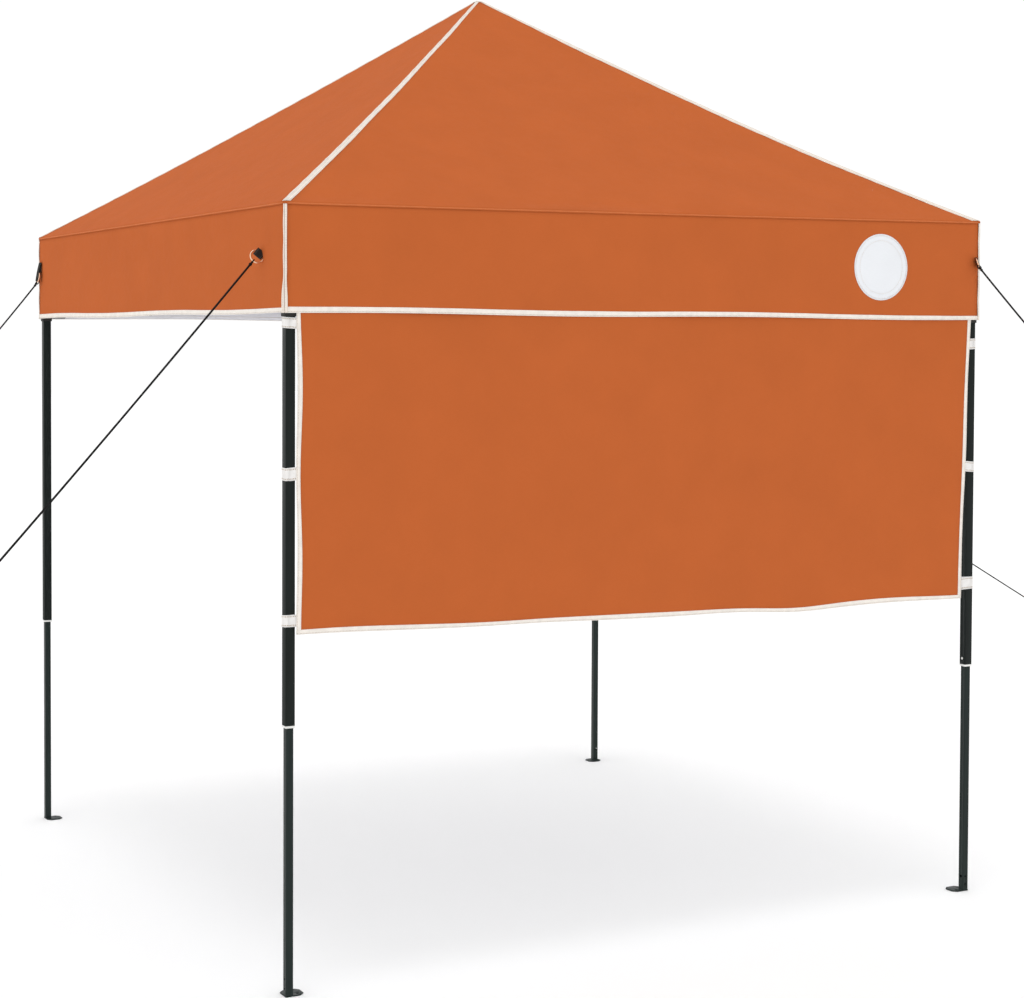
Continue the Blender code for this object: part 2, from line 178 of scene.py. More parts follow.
def woven(name, colour, roughness, pitch=0.0011, variation=0.045, sheen=0.0):
    """Plain-weave cloth with fine threads both ways, slubs and a slight unevenness of its dye."""
    cloth = Shader(name, colour, roughness, Sheen_Weight=sheen, Sheen_Roughness=0.5, Specular_IOR_Level=0.05)
    warp, weft = cloth.threads(0, pitch), cloth.threads(1, pitch)
    weave = cloth.math("MULTIPLY", warp, weft)
    slubs = cloth.node("TexNoise", Scale=1.0, Detail=2.0)
    stretch = cloth.node("Mapping", Vector=cloth.places.outputs["UV"], Scale=(60.0, 900.0, 1.0))
    cloth.tree.links.new(stretch.outputs[0], slubs.inputs["Vector"])
    mottle = cloth.noise(7.0, 4.0)
    mottle_part = cloth.math("MULTIPLY", mottle, 0.55)
    slub_part = cloth.math("MULTIPLY", slubs.outputs[0], 0.45)
    blend = cloth.math("ADD", mottle_part, slub_part)
    cloth.vary_colour(blend, variation)
    cloth.vary_roughness(cloth.noise(40.0), roughness - 0.07, min(1.0, roughness + 0.07))
    cloth.bump(weave, 0.35, 0.0004)
    cloth.bump(cloth.noise(26.0, 2.0), 0.10, 0.003)
    return cloth.made


def webbing(name, colour, roughness, pitch=0.0016, stitched=(), thread=(0.5, 0.42, 0.34), rib_axis=0):
    """Ribbed tape. Its second cloth coordinate is 0 to 1 across it. stitched places rows of stitches."""
    tape = Shader(name, colour, roughness, Specular_IOR_Level=0.1)
    ribs = tape.threads(rib_axis, pitch)
    base = tape.vary_colour(tape.noise(55.0, 3.0), 0.06)
    height = tape.math("MULTIPLY", ribs, 0.5)
    for row in stitched:
        line = tape.near(tape.across(1), row, 0.045)
        mask = tape.math("MULTIPLY", line, tape.stitches(0, 0.0045))
        base = tape.tint(base, mask, thread)
        height = tape.math("ADD", height, mask)
    tape.bump(height, 0.5, 0.0004)
    return tape.made


def powder_coat(name, colour, shine):
    """Dark green-black powder coat: fine orange peel, with dust and rub marks that change its gloss."""
    coat = Shader(name, colour, 0.42, Specular_IOR_Level=shine)
    peel = coat.noise(750.0, 2.0)
    marks = coat.node("TexNoise", Scale=1.0, Detail=5.0)
    along = coat.node("Mapping", Vector=coat.places.outputs["Object"], Scale=(70.0, 70.0, 5.0))
    coat.tree.links.new(along.outputs[0], marks.inputs["Vector"])
    coat.vary_colour(marks.outputs[0], 0.22, 0.25, 0.75)
    coat.vary_roughness(marks.outputs[0], 0.34, 0.52)
    coat.bump(peel, 0.18, 0.0003)
    return coat.made


def moulded_plastic(name, colour, roughness, grain=0.22):
    """Moulded plastic with a fine spark-eroded grain."""
    plastic = Shader(name, colour, roughness, Specular_IOR_Level=0.3)
    grains = plastic.node("TexVoronoi", Vector=plastic.places.outputs["Object"], Scale=1400.0)
    plastic.vary_colour(plastic.noise(35.0, 4.0), 0.12)
    plastic.vary_roughness(plastic.noise(90.0), roughness - 0.08, roughness + 0.08)
    plastic.bump(grains.outputs["Distance"], grain, 0.0003)
    return plastic.made


def plated(name, colour, roughness):
    """Plated steel, with the fine lines of its drawing and a slightly cloudy plating."""
    metal = Shader(name, colour, roughness, 1.0)
    lines = metal.node("TexNoise", Scale=1.0, Detail=3.0)
    along = metal.node("Mapping", Vector=metal.places.outputs["Object"], Scale=(900.0, 900.0, 90.0))
    metal.tree.links.new(along.outputs[0], lines.inputs["Vector"])
    metal.vary_colour(metal.noise(60.0, 4.0), 0.10)
    metal.vary_roughness(metal.noise(45.0, 4.0), roughness - 0.07, roughness + 0.12)
    metal.bump(lines.outputs[0], 0.12, 0.0002)
    return metal.made


def braided(name, colour, strands=8, pitch=0.006, flecks=None):
    """Braided cord: diagonal strands both ways round a tube. Its cloth places run along it and round it."""
    cord = Shader(name, colour, 0.8, Specular_IOR_Level=0.15)
    along = cord.math("MULTIPLY", cord.across(0), 2 * math.pi / pitch)
    round_it = cord.math("MULTIPLY", cord.across(1), 2 * math.pi * strands / 2)
    one_way = cord.math("SINE", cord.math("ADD", along, round_it))
    other_way = cord.math("SINE", cord.math("SUBTRACT", along, round_it))
    braid = cord.math("MAXIMUM", one_way, other_way)
    # painted shade and highlight: the cord's colour is darker in the grooves between its strands and lighter
    # on their crowns
    base = cord.vary_colour(braid, 0.35, -0.2, 1.0)
    if flecks:
        mask = cord.math("GREATER_THAN", cord.math("MULTIPLY", one_way, other_way), 0.72)
        cord.tint(base, mask, flecks)
    cord.bump(braid, 0.7, 0.0006)
    return cord.made


ORANGE = woven("orange_polyester", (0.508, 0.121, 0.032), 0.88)
LINING = woven("silver_lining", (0.80, 0.79, 0.82), 0.7, variation=0.03)
BINDING = webbing("white_binding", (0.83, 0.78, 0.72), 0.8, stitched=(0.24,))
HIP_TAPE = webbing("cream_hip_tape", (0.83, 0.755, 0.68), 0.8, stitched=(0.30, 0.74),
                   thread=(0.55, 0.45, 0.36))
STRAP = webbing("white_hook_strap", (0.80, 0.785, 0.77), 0.85, pitch=0.0020, stitched=(0.14, 0.86))
TAB = webbing("black_webbing", (0.022, 0.020, 0.018), 0.7, pitch=0.0018, stitched=(0.15, 0.85),
              thread=(0.07, 0.065, 0.06))
SEAM = webbing("orange_seam", (0.60, 0.165, 0.055), 0.75, pitch=0.0012, stitched=(0.5,),
               thread=(0.72, 0.30, 0.13))
PATCH = woven("white_patch", (0.80, 0.82, 0.85), 0.7, pitch=0.0016, variation=0.03)
COAT = powder_coat("black_powder_coat", (0.0090, 0.0125, 0.0115), 0.11)
INNER_COAT = powder_coat("dark_grey_powder_coat", (0.0145, 0.0220, 0.0205), 0.14)
PLASTIC = moulded_plastic("black_moulded_plastic", (0.011, 0.010, 0.009), 0.5)
BUSH = moulded_plastic("white_moulded_plastic", (0.80, 0.80, 0.78), 0.42, grain=0.1)
ZINC = plated("zinc_plating", (0.72, 0.72, 0.70), 0.30)
BRASS = plated("brassed_ring", (0.86, 0.60, 0.42), 0.34)
ROPE = braided("black_braided_cord", (0.006, 0.006, 0.006), flecks=(0.03, 0.03, 0.03))


# Mesh tools -----------------------------------------------------------------------------------------------


def quarter(k):
    return Matrix.Rotation(k * math.pi / 2, 4, "Z")


def piece(name, points, faces, cloth_places, materials, turn=0):
    """A smooth mesh object from points, faces and a cloth place (along, across) for each point."""
    mesh = bpy.data.meshes.new(name)
    mesh.from_pydata([quarter(turn) @ Vector(p) for p in points], [], faces)
    layer = mesh.uv_layers.new(name="cloth")
    for loop in mesh.loops:
        layer.data[loop.index].uv = cloth_places[loop.vertex_index]
    for material in materials:
        mesh.materials.append(material)
    mesh.polygons.foreach_set("use_smooth", [True] * len(mesh.polygons))
    obj = bpy.data.objects.new(name, mesh)
    bpy.context.scene.collection.objects.link(obj)
    return obj


def grid(name, columns, rows, place, cloth_place, materials, turn=0):
    """A piece from place(u, v), with u and v from 0 to 1. Faces look outwards where u runs to the right of
    someone who looks at the piece from outside and v runs up."""
    points, places, faces = [], [], []
    for row in range(rows + 1):
        for column in range(columns + 1):
            u, v = column / columns, row / rows
            points.append(place(u, v))
            places.append(cloth_place(u, v))
    wide = columns + 1
    for row in range(rows):
        for column in range(columns):
            a = row * wide + column
            faces.append((a, a + 1, a + 1 + wide, a + wide))
    return piece(name, points, faces, places, materials, turn)


def close_seam(obj):
    """Joins a round piece's first and last columns, and the points that meet in its middle."""
    bm = bmesh.new()
    bm.from_mesh(obj.data)
    bmesh.ops.remove_doubles(bm, verts=bm.verts, dist=0.000001)
    bm.to_mesh(obj.data)
    bm.free()
    return obj


def apply_modifiers(obj):
    """Makes what the modifiers give the object's own mesh."""
    graph = bpy.context.evaluated_depsgraph_get()
    mesh = bpy.data.meshes.new_from_object(obj.evaluated_get(graph))
    obj.modifiers.clear()
    obj.data = mesh


def thicken(obj, thickness, inside=None):
    """Gives a sheet its thickness, inwards from its outer face. inside is the index of the material there."""
    solid = obj.modifiers.new("thickness", "SOLIDIFY")
    solid.thickness = thickness
    solid.offset = -1.0
    solid.use_even_offset = True
    if inside is not None:
        solid.material_offset = inside
        solid.material_offset_rim = 0
    bpy.context.view_layer.update()
    apply_modifiers(obj)
    return obj


def tube(name, path, radius, material, sides=12, closed=False, radii=None):
    """A tube along a path of points, with its cloth places along it and round it."""
    path = [Vector(p) for p in path]
    count = len(path)
    points, places, faces = [], [], []
    tangent = (path[1] - path[0]).normalized()
    normal = tangent.orthogonal().normalized()
    gone = 0.0
    for i, here in enumerate(path):
        if closed:
            tangent = (path[(i + 1) % count] - path[i - 1]).normalized()
        else:
            tangent = (path[min(i + 1, count - 1)] - path[max(i - 1, 0)]).normalized()
        normal = (normal - tangent * normal.dot(tangent)).normalized()
        side = tangent.cross(normal)
        if i:
            gone += (here - path[i - 1]).length
        size = radii[i] if radii else radius
        for j in range(sides):
            angle = 2 * math.pi * j / sides
            points.append(here + size * (math.cos(angle) * normal + math.sin(angle) * side))
            places.append((gone, j / sides))
    rings = count if closed else count - 1
    for i in range(rings):
        for j in range(sides):
            a, b = i * sides + j, i * sides + (j + 1) % sides
            c, d = (i + 1) % count * sides + (j + 1) % sides, (i + 1) % count * sides + j
            faces.append((a, b, c, d))
    if not closed:
        faces.append(tuple(range(sides - 1, -1, -1)))
        faces.append(tuple((count - 1) * sides + j for j in range(sides)))
    return piece(name, points, faces, places, [material])


def box_strip(name, middle_line, half_width, thickness, materials, turn=0):
    """A flat tape: middle_line gives (point, across, outwards) along it. The tape has thickness outwards."""
    points, places, faces = [], [], []
    gone = 0.0
    for i, (point, across, outwards) in enumerate(middle_line):
        if i:
            gone += (point - middle_line[i - 1][0]).length
        for j, (side, lift) in enumerate(((-1, 0), (-1, 1), (0, 1.15), (1, 1), (1, 0))):
            points.append(point + across * half_width * side + outwards * thickness * lift)
            places.append((gone, (side + 1) / 2))
    for i in range(len(middle_line) - 1):
        for j in range(5):
            a, b = i * 5 + j, i * 5 + (j + 1) % 5
            faces.append((a, b, b + 5, a + 5))
    faces.append((4, 3, 2, 1, 0))
    last = (len(middle_line) - 1) * 5
    faces.append(tuple(last + j for j in range(5)))
    return piece(name, points, faces, places, materials, turn)


def joined(name, parts):
    """One object from several."""
    first = parts[0]
    with bpy.context.temp_override(active_object=first, object=first, selected_editable_objects=parts,
                                   selected_objects=parts):
        bpy.ops.object.join()
    first.name = first.data.name = name
    return first


def gathers(obj, side, body):
    """Lets a fabric piece ride on a body of its side."""
    along = quarter(side) @ Vector((1, 0, 0))
    middle = quarter(side) @ Vector((0, -EAVE, EAVE_Z))
    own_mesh(obj)
    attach(obj, body)
    return obj


def smooth_step(value, start, end):
    share = min(1.0, max(0.0, (value - start) / (end - start)))
    return share * share * (3 - 2 * share)


# Camera and light -----------------------------------------------------------------------------------------

FOCAL_LENGTH = 72.82
CAMERA_PLACE = Vector((-3.36473, -6.51063, 1.82413))
CAMERA_YAW, CAMERA_PITCH, CAMERA_ROLL = 0.49404, -0.03126, 0.00429
CAMERA_SHIFT = -0.0926


def add_camera():
    data = bpy.data.cameras.new("camera")
    data.lens = FOCAL_LENGTH
    data.sensor_width = 36.0
    data.shift_y = CAMERA_SHIFT
    data.clip_end = 200.0
    camera = bpy.data.objects.new("camera", data)
    bpy.context.scene.collection.objects.link(camera)
    flat = math.cos(CAMERA_PITCH)
    forward = Vector((math.sin(CAMERA_YAW) * flat, math.cos(CAMERA_YAW) * flat, math.sin(CAMERA_PITCH)))
    right = Vector((math.cos(CAMERA_YAW), -math.sin(CAMERA_YAW), 0.0))
    up = right.cross(forward)
    tilted_right = math.cos(CAMERA_ROLL) * right + math.sin(CAMERA_ROLL) * up
    tilted_up = math.cos(CAMERA_ROLL) * up - math.sin(CAMERA_ROLL) * right
    turn = Matrix((tilted_right, tilted_up, -forward)).transposed().to_4x4()
    camera.matrix_world = Matrix.Translation(CAMERA_PLACE) @ turn
    bpy.context.scene.camera = camera


def add_light():
    world = bpy.data.worlds.new("studio")
    world.use_nodes = True
    background = world.node_tree.nodes["Background"]
    background.inputs["Color"].default_value = (1.0, 1.0, 1.0, 1.0)
    background.inputs["Strength"].default_value = 1.030
    bpy.context.scene.world = world
    # a wide soft light from overhead, and a weaker one from the left of the camera
    for name, strength, spread, towards in (
        ("overhead", 0.32, 17.0, Vector((0.10, 0.12, -1.0))),
        ("left", 0.12, 50.0, Vector((1.0, 0.35, -0.35))),
    ):
        lamp = bpy.data.lights.new(name, "SUN")
        lamp.energy = strength
        lamp.angle = math.radians(spread)
        obj = bpy.data.objects.new(name, lamp)
        obj.rotation_euler = towards.to_track_quat("-Z", "Y").to_euler()
        bpy.context.scene.collection.objects.link(obj)


def add_floor():
    size = 60.0
    corners = [(-size, -size, 0), (size, -size, 0), (size, size, 0), (-size, size, 0)]
    floor_shader = Shader("studio_floor", (0.985, 0.985, 0.985), 0.9, Specular_IOR_Level=0.2)
    floor_shader.vary_colour(floor_shader.noise(0.6, 2.0), 0.004)
    floor = piece("floor", corners, [(0, 1, 2, 3)], [corner[:2] for corner in corners], [floor_shader.made])
    below_feet = 0.0006
    floor.location.z = -below_feet


# The steel frame: the CAD's own shapes, with softened edges and finished surfaces --------------------------


LEG_EDGE, SMALL_EDGE = 0.0016, 0.0007  # how wide the frame's edges are rounded


def finish_frame():
    finishes = (
        ("leg_button", ZINC),
        ("slider_button", ZINC),
        ("top_bracket", PLASTIC),
        ("slider_", PLASTIC),
        ("mid_bracket", PLASTIC),
        ("hub", PLASTIC),
        ("outer_leg", COAT),
        ("inner_leg", INNER_COAT),
        ("upper_bar", COAT),
        ("lower_bar", COAT),
        ("strut", COAT),
        ("centre_post", COAT),
    )
    for name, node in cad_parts.items():
        finish = next((material for start, material in finishes if name.startswith(start)), None)
        if finish is None:
            continue
        node.data.materials.clear()
        node.data.materials.append(finish)
        weld = node.modifiers.new("weld", "WELD")
        weld.merge_threshold = 0.00002
        bevel = node.modifiers.new("soft_edges", "BEVEL")
        bevel.width = LEG_EDGE if "leg_" in name and "button" not in name else SMALL_EDGE
        bevel.segments = 2
        bevel.limit_method = "ANGLE"
        bevel.angle_limit = math.radians(40.0)
        bevel.harden_normals = True
        node.data.polygons.foreach_set("use_smooth", [True] * len(node.data.polygons))


# The fabric top -------------------------------------------------------------------------------------------


def roof_height(inward):
    share = inward / EAVE
    return EAVE_Z + (PEAK_Z - EAVE_Z) * share - 4 * ROOF_SAG * share * (1 - share)


def eave_lift(side, x):
    """How much higher than the CAD's the fabric's eave is. It rises towards the front right corner."""
    along = min(1.0, max(0.0, 0.5 + 0.5 * x / EAVE))
    return CORNER_LIFT * {0: along ** 1.3, 1: (1 - along) ** 1.3}.get(side, 0.0)


SLOPE = math.atan2(PEAK_Z - EAVE_Z, EAVE)
PANEL_OUTWARDS = Vector((0.0, -math.sin(SLOPE), math.cos(SLOPE)))


def roof_place(side, x, inward):
    """A point of the front panel's outer face: the even sag, a little more in its middle, and pulls that run
    in from its two eave corners."""
    half = max(EAVE - inward, 0.001)
    off_hips = max(0.0, 1 - (x / half) ** 2)
    share = inward / EAVE
    hang = 0.007 * off_hips * 4 * share * (1 - share)
    pulls = 0.0
    for end in (-1, 1):
        away_x, away_y = EAVE - end * x, inward
        distance = math.hypot(away_x, away_y)
        angle = math.atan2(away_y, away_x)
        fade = math.exp(-distance / 0.30) * smooth_step(distance, 0.02, 0.10)
        pulls += 0.0032 * fade * math.sin(angle * 17 + side + end) * off_hips ** 0.5
    ripple = noise.noise(Vector((x * 1.7, inward * 2.3, side * 5.1))) * 0.0024 * off_hips ** 0.5
    # on a hip both panels take the lift of the corner that it runs to
    lift = eave_lift(side, EAVE * x / half) * max(0.0, 1 - share * 2.2) ** 1.5
    return Vector((x, inward - EAVE, roof_height(inward) - hang + pulls + ripple + lift))


# the eave's hem hangs just over the valance's top edge: (out from the eave, height against the eave)
HEM = [(0.0018, -0.0095), (0.0021, -0.0040), (0.0012, -0.0005)]
PANEL_ROWS = 30


def roof_row(v):
    """(distance inwards, height or None) of a row, from the hem's edge up to the tip."""
    row = v * (PANEL_ROWS + len(HEM))
    if row < len(HEM) - 0.5:
        out, rise = HEM[int(round(row))]
        return -out, EAVE_Z + rise
    return (EAVE - TIP) * (row - len(HEM)) / PANEL_ROWS, None


def add_roof():
    for side, where in enumerate(SIDES):

        def place(u, v):
            inward, height = roof_row(v)
            half = EAVE - inward
            x = half * (2 * u - 1)
            if height is None:
                return roof_place(side, x, inward)
            return Vector((x, -EAVE + inward, height + eave_lift(side, x)))

        def cloth_place(u, v):
            inward, _ = roof_row(v)
            return ((2 * u - 1) * (EAVE - inward), inward / math.cos(SLOPE))

        rows = PANEL_ROWS + len(HEM)
        panel = grid("roof_cloth_" + where, 44, rows, place, cloth_place, [ORANGE, LINING], side)
        thicken(panel, CLOTH, inside=1)
        tapes = [hip_tape(side, where, end) for end in (-1, 1)]
        seam = eave_seam(side, where)
        for part in (panel, *tapes, seam):
            gathers(part, side, "roof_" + where)
        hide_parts("roof_panel_" + where)


def hip_tape(side, where, end):
    """Half of the tape over a hip: it lies on this panel, along its edge, and is widest at the eave."""
    columns, rows = 4, 60

    def place(u, v):
        inward = (EAVE - TIP) * v
        half = EAVE - inward
        width = 0.0062 + 0.0058 * (1 - v) ** 0.7
        # the tape wanders across its hip, so what one half gains the other loses
        corner = side if end > 0 else (side - 1) % 4
        width += end * 0.0024 * noise.noise(Vector((v * 7.0, corner * 3.3, 0.7)))
        # the tape over the front right hip sits mostly on the front panel
        if (side, end) == (0, 1):
            width *= 2.0
        width += 0.0008 * noise.noise(Vector((v * 9.0, side * 3.0, end * 2.0)))
        # the panel's edge runs at 45 degrees in plan, so a width across it spans more along X
        share = 1 - u if end > 0 else u
        x = end * max(half - share * width * math.sqrt(2), 0.0)
        lift = 0.0013 + 0.0007 * math.sin(math.pi * min(1.0, share * 1.4)) + 0.0004 * math.sin(v * 130 + side)
        return roof_place(side, x, inward) + PANEL_OUTWARDS * lift

    def cloth_place(u, v):
        return (v * 1.7, u if end < 0 else 1 - u)

    name = f"hip_tape_{where}_{'right' if end > 0 else 'left'}"
    tape = grid(name, columns, rows, place, cloth_place, [HIP_TAPE], side)
    return thicken(tape, 0.0011)


def eave_seam(side, where):
    """The sewn line where the panel's hem is turned over the valance."""
    line = []
    steps = 60
    for i in range(steps + 1):
        x = (EAVE - 0.008) * (2 * i / steps - 1)
        wander = 0.0006 * noise.noise(Vector((x * 6.0, side * 4.0, 0.3)))
        point = Vector((x, -EAVE - 0.0021, EAVE_Z - 0.0052 + wander + eave_lift(side, x)))
        line.append((point, Vector((0, 0, 1)), Vector((0, -1, 0))))
    return box_strip("eave_seam_" + where, line, 0.0016, 0.0006, [SEAM], side)


def add_peak_cap():
    """A small round-cornered cap of fabric over the tip, where the four panels meet on the centre post."""

    def place(u, v):
        angle = 2 * math.pi * u
        reach = 0.017 * (1 - v)
        square = 1 / max(abs(math.cos(angle)), abs(math.sin(angle)))
        radius = reach * (0.55 + 0.45 * square)
        rise = roof_height(EAVE - radius) + 0.0022 - 0.0060 * math.exp(-((radius / 0.008) ** 2))
        return Vector((radius * math.cos(angle), radius * math.sin(angle), rise))

    cap = close_seam(grid("peak_cap", 32, 8, place, lambda u, v: (u * 0.1, v), [HIP_TAPE]))
    thicken(cap, 0.0010)
    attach(cap, "hub")


VALANCE_TOP = EAVE_Z - 0.0025
BOTTOM_TAPE = 0.0165  # at its left end, and a little less towards its right one
END_TAPE = 0.0068


def valance_drop(side, x, z):
    """How far the valance stands out from the eave's plane: nothing at its top, soft waves lower down."""
    low = 1 - smooth_step(z, VALANCE_BOTTOM, VALANCE_TOP)
    middle = 1 - abs(x / EAVE) ** 8
    waves = 0.0030 * math.sin(x * 6.1 + side * 1.9) + 0.0016 * math.sin(x * 14.3 + side)
    waves += 0.0022 * noise.noise(Vector((x * 2.6, z * 3.0, side * 7.0)))
    return max(-0.0006, 0.0016 + waves) * low * middle + 0.0004


def valance_place(side, u, v):
    x = EAVE * (2 * u - 1)
    height = VALANCE_TOP - VALANCE_BOTTOM
    z = VALANCE_BOTTOM + height * v + eave_lift(side, x) * smooth_step(v, 0.0, 1.0)
    # the bottom edge scallops very slightly between its corners
    z += 0.0022 * math.sin(x * 5.3 + side * 2.2) * (1 - v) ** 3
    return Vector((x, -EAVE - valance_drop(side, x, z), z))


def add_valance():
    height = VALANCE_TOP - VALANCE_BOTTOM
    for side, where in enumerate(SIDES):
        cloth = grid("valance_cloth_" + where, 90, 16, lambda u, v: valance_place(side, u, v),
                     lambda u, v: (2 * EAVE * u, height * v), [ORANGE, LINING], side)
        thicken(cloth, CLOTH, inside=1)

        def bottom_place(u, v):
            share = BOTTOM_TAPE * (1 - 0.22 * u) / height * v
            wave = 0.0007 * noise.noise(Vector((u * 14.0, side * 2.0, 1.0)))
            base = valance_place(side, u, share)
            lift = 0.0012 + 0.0005 * math.sin(math.pi * v)
            return base + Vector((0, -lift, -0.0006 * (1 - v) + wave * v))

        bottom = grid("valance_hem_" + where, 90, 4, bottom_place,
                      lambda u, v: (2 * EAVE * u, v), [BINDING], side)
        thicken(bottom, 0.0026)

        ends = []
        for end in (-1, 1):

            def end_place(u, v):
                share = 1 - u if end > 0 else u
                # the tape puffs out towards its lower end at the front left corner
                puff = smooth_step(1 - v, 0.66, 0.90) if (side, end) in ((3, 1), (0, -1)) else 0.0
                width = END_TAPE * (1 + 0.35 * puff)
                width += 0.0007 * noise.noise(Vector((v * 5.0, side * 2.7, end * 1.3)))
                x = end * (EAVE + 0.0012 - share * width)
                z = VALANCE_BOTTOM - 0.0012 + (height - 0.004 + eave_lift(side, x)) * v
                lift = 0.005 * puff * math.sin(math.pi * 0.8 * share) * (side == 3) + 0.0016
                lift += 0.0012 * math.sin(math.pi * (0.15 + 0.7 * share))
                lift += 0.0006 * math.sin(v * 21 + side)
                return Vector((x, -EAVE - 0.0004 - lift, z))

            def end_cloth(u, v):
                return (height * v, u if end < 0 else 1 - u)

            name = f"corner_tape_{where}_{'right' if end > 0 else 'left'}"
            tape = grid(name, 5, 30, end_place, end_cloth, [HIP_TAPE], side)
            ends.append(thicken(tape, 0.0014))
        for part in (cloth, bottom, *ends):
            gathers(part, side, "mid_" + where)
        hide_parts("valance")


PATCH_X, PATCH_Z, PATCH_RADIUS = 0.820, 2.060, 0.106


def add_patch():
    """A plain round patch with a sewn rim, near the right-hand end of the front valance."""
    rings, turns = 10, 64

    def place(u, v):
        angle = 2 * math.pi * u
        radius = PATCH_RADIUS * (1 - v)
        x, z = PATCH_X + radius * math.sin(angle), PATCH_Z - radius * math.cos(angle)
        rim = math.exp(-((radius - 0.94 * PATCH_RADIUS) / 0.0035) ** 2)
        return Vector((x, -EAVE - valance_drop(0, x, z) - 0.0012 - 0.0006 * rim, z))

    def cloth_place(u, v):
        angle = 2 * math.pi * u
        across = PATCH_RADIUS * (1 + (1 - v) * math.sin(angle))
        return (across, PATCH_RADIUS * (1 - (1 - v) * math.cos(angle)))

    patch = close_seam(grid("round_patch", turns, rings, place, cloth_place, [PATCH]))
    thicken(patch, 0.0010)
    stitches = []
    for radius, count in ((0.955 * PATCH_RADIUS, 96), (0.80 * PATCH_RADIUS, 72)):
        for i in range(count):
            first, last = 2 * math.pi * i / count, 2 * math.pi * (i + 0.62) / count
            path = []
            for share in (0.0, 0.3, 0.7, 1.0):
                angle = first + (last - first) * share
                x, z = PATCH_X + radius * math.sin(angle), PATCH_Z - radius * math.cos(angle)
                lift = 0.0016 if share in (0.0, 1.0) else 0.0024
                path.append(Vector((x, -EAVE - valance_drop(0, x, z) - lift, z)))
            stitches.append(tube("stitch", path, 0.00045, HIP_TAPE, sides=5))
    thread = joined("patch_stitches", stitches)
    for part in (patch, thread):
        gathers(part, 0, "mid_front")


# The half wall --------------------------------------------------------------------------------------------

WALL_LEFT_X, WALL_RIGHT_TOP, WALL_RIGHT_LOW = -1.189, 1.196, 1.164
WALL_LOW_LEFT, WALL_LOW_RIGHT = 1.009, 0.980
WALL_TAPE = 0.0125


def wall_place(u, v, proud=0.0):
    """A point of the wall's outer face. It hangs from the frame and three straps hold each side, so it is
    flat at the top and swells a little outwards lower down."""
    right = WALL_RIGHT_LOW + (WALL_RIGHT_TOP - WALL_RIGHT_LOW) * v
    left = WALL_LEFT_X
    # between straps the sides pull in slightly
    pull = 0.0040 * (0.5 - 0.5 * math.cos(4 * math.pi * v))
    left += pull * (1 - u) ** 2
    right -= pull * 0.9
    x = left + (right - left) * u
    low = WALL_LOW_LEFT + (WALL_LOW_RIGHT - WALL_LOW_LEFT) * u
    low -= 0.005 * math.sin(math.pi * u) + 0.009 * math.exp(-(((u - 0.72) / 0.07) ** 2))
    low += 0.0012 * math.sin(u * 23.0)
    z = low + (wall_high.z - low) * v
    free = (1 - smooth_step(v, 0.55, 0.97)) * math.sin(math.pi * min(1.0, max(0.0, u))) ** 0.7
    swell = 0.006 * free + 0.0025 * free * (1 + math.sin(x * 5.2 + z * 1.5))
    swell += 0.0018 * free * (1 + noise.noise(Vector((x * 2.2, z * 2.8, 3.3))))
    edge = 0.0016 * (1 - v) * (1 + math.sin(x * 19.0)) * (1 - smooth_step(z, low, low + 0.10))
    return Vector((x, WALL_Y - max(0.0, swell + edge) - proud, z))


def add_wall():
    width = WALL_RIGHT_TOP - WALL_LEFT_X
    height = wall_high.z - WALL_LOW_RIGHT
    cloth = grid("half_wall", 80, 40, wall_place, lambda u, v: (width * u, height * v), [ORANGE, LINING])
    thicken(cloth, 0.0010, inside=1)
    tapes = []
    for name, span in (("left", 0), ("right", 1)):

        def place(u, v):
            share = WALL_TAPE / width * (1 + 0.12 * math.sin(v * 11 + span * 2))
            across = share * u if span == 0 else 1 - share * (1 - u)
            inside = u if span == 0 else 1 - u
            point = wall_place(across, v, 0.0007 + 0.0007 * math.sin(math.pi * inside))
            point.x += (span * 2 - 1) * 0.0010 * (1 - inside)
            return point

        tape = grid("wall_tape_" + name, 4, 60, place,
                    lambda u, v: (height * v, u if span == 0 else 1 - u), [BINDING])
        tapes.append(thicken(tape, 0.0022))

    def bottom_place(u, v):
        share = WALL_TAPE / height * v * (1 + 0.15 * math.sin(u * 17))
        proud = 0.0008 + 0.0007 * math.sin(math.pi * v)
        return wall_place(u, share, proud) + Vector((0, 0, -0.001 * (1 - v)))

    bottom = grid("wall_tape_bottom", 90, 4, bottom_place, lambda u, v: (width * u, v), [BINDING])
    tapes.append(thicken(bottom, 0.0022))

    straps = [
        hook_strap(f"wall_strap_{side}_{i}", end, low, high)
        for side, end, spans in (
            ("left", -1, ((1.029, 1.062), (1.434, 1.470), (1.852, 1.8825))),
            ("right", 1, ((1.006, 1.046), (1.395, 1.429), (1.799, 1.834))),
        )
        for i, (low, high) in enumerate(spans)
    ]
    for part in (cloth, *tapes, *straps):
        gathers(part, 0, "mid_front")
    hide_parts("side_wall")


STRAP_SEWN = 0.046  # a strap starts on the wall this far in from the leg's middle
WEBBING = 0.0013  # how thick the straps and the rings' tabs are


